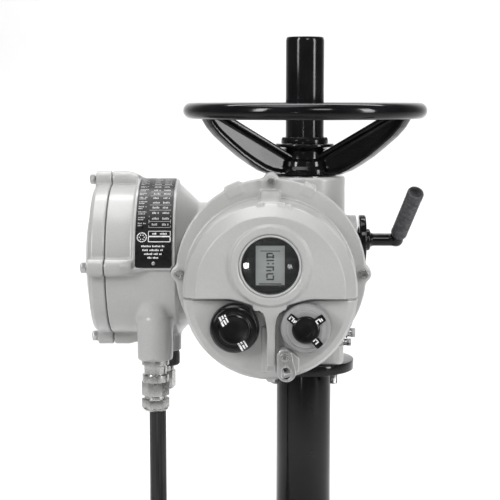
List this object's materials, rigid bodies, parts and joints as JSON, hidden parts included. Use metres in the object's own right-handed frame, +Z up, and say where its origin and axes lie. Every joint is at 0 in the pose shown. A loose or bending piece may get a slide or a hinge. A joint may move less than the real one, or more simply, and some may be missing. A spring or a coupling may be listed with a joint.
{
  "type": "motorized valve actuator",
  "caption": "Electric multi-turn valve actuator on a column: handwheel with stem cover, hand lever, round control cover with window and knobs, side terminal box with a supply cable.",
  "frame": {"origin": "middle of the column foot's underside, on the drive axis", "axes": "+Z up the drive axis towards the stem cover, -Y the front with the control cover, +X the side of the hand lever"},
  "size_m": [0.4177, 0.444, 0.625],
  "materials": {
    "grey_casting": "satin light grey powder coat over a casting",
    "black_paint": "gloss black enamel",
    "black_plastic": "fine moulded black plastic",
    "knob_black": "satin moulded black",
    "knob_grey": "moulded dark grey",
    "grip_rubber": "textured soft grip",
    "plated_steel": "zinc plated, turned",
    "nickel_brass": "nickel plated brass",
    "stainless": "brushed stainless",
    "gear_bronze": "cut bronze",
    "winding_copper": "varnished copper windings",
    "seal_rubber": "matt nitrile",
    "cable_sheath": "matt black sheath with length ridges",
    "label": null,
    "circuit_board": "solder masked board",
    "screen": "grey liquid crystal panel",
    "glass": "clear toughened glass"
  },
  "bodies": {
    "housing": {"column_foot": "black_paint", "column_tube": "black_paint", "column_flange": "black_paint", "base_bolt_1": "plated_steel", "base_bolt_2": "plated_steel", "base_bolt_3": "plated_steel", "base_bolt_4": "plated_steel", "gearcase": "grey_casting", "oil_filler_plug": "plated_steel", "oil_drain_plug": "plated_steel", "control_module": "black_plastic", "lower_bearing": "plated_steel", "upper_bearing": "plated_steel", "motor_stator": "winding_copper", "motor_cover": "grey_casting", "control_cover_seal": "seal_rubber", "control_cover_screw_top": "plated_steel", "control_cover_screw_left": "plated_steel", "control_cover_screw_right": "plated_steel", "control_cover_screw_bottom": "plated_steel", "control_cover": "grey_casting", "window_glass": "glass", "display_bezel": "black_plastic", "display_panel": "screen", "display_board": "circuit_board", "lock_tab_screw": "plated_steel", "terminal_housing": "grey_casting", "terminal_cover": "grey_casting", "terminal_cover_seal": "seal_rubber", "terminal_cover_screw_top": "plated_steel", "terminal_cover_screw_bottom": "plated_steel", "terminal_cover_screw_front": "plated_steel", "terminal_cover_screw_rear": "plated_steel", "terminal_block": "black_plastic", "nameplate": "label", "gland_body": "nickel_brass", "gland_nut": "nickel_brass", "supply_cable": "cable_sheath", "conduit_fitting": "plated_steel", "blanking_adaptor": "black_plastic", "blanking_plug": "nickel_brass"},
    "handwheel": {"handwheel_hub": "black_paint", "handwheel_rim": "black_paint", "handwheel_spoke_1": "black_paint", "handwheel_spoke_2": "black_paint", "handwheel_spoke_3": "black_paint", "stem_cover_tube": "black_paint", "stem_cover_collar": "black_paint", "drive_sleeve": "plated_steel", "drive_nut": "gear_bronze"},
    "clutch": {"clutch_ring": "plated_steel"},
    "worm_wheel": {"worm_wheel": "gear_bronze"},
    "motor_rotor": {"worm_shaft": "plated_steel", "motor_rotor": "plated_steel"},
    "lever": {"lever_arm": "black_paint", "lever_grip": "grip_rubber"},
    "mode_knob": {"mode_knob": "knob_black"},
    "command_knob": {"command_knob": "knob_grey", "command_knob_insert": "knob_black"},
    "lock_tab": {"lock_tab": "stainless"}
  },
  "joints": [
    {"name": "handwheel_spin", "type": "hinge", "parent": "housing", "child": "handwheel", "pos_m": [0, 0, 0.475], "axis": [0, 0, 1], "continuous": true},
    {"name": "worm_wheel_spin", "type": "hinge", "parent": "housing", "child": "worm_wheel", "pos_m": [0, 0, 0.345], "axis": [0, 0, 1], "continuous": true},
    {"name": "motor_spin", "type": "hinge", "parent": "housing", "child": "motor_rotor", "pos_m": [-0.06, 0.05, 0.345], "axis": [0, 1, 0], "continuous": true},
    {"name": "lever_press", "type": "hinge", "parent": "housing", "child": "lever", "pos_m": [0.0685, -0.045, 0.3806], "axis": [1, 0, 0], "range_deg": [0, 35], "stiffness_Nm_per_rad": 2},
    {"name": "clutch_lift", "type": "slide", "parent": "handwheel", "child": "clutch", "axis": [0, 0, 1], "range_m": [0, 0.006]},
    {"name": "mode_knob_turn", "type": "hinge", "parent": "housing", "child": "mode_knob", "pos_m": [-0.081, -0.226, 0.3035], "axis": [0, 1, 0], "range_deg": [-60, 60]},
    {"name": "command_knob_turn", "type": "hinge", "parent": "housing", "child": "command_knob", "pos_m": [-0.0042, -0.226, 0.3035], "axis": [0, 1, 0], "range_deg": [-40, 40], "stiffness_Nm_per_rad": 0.5},
    {"name": "lock_tab_swing", "type": "hinge", "parent": "housing", "child": "lock_tab", "pos_m": [-0.0272, -0.2405, 0.2744], "axis": [0, -1, 0], "range_deg": [0, 40]}
  ],
  "couplings": [
    {"joint": "motor_spin", "follows": "worm_wheel_spin", "ratio": 30},
    {"joint": "clutch_lift", "follows": "lever_press", "m_per_rad": 0.009822}
  ]
}
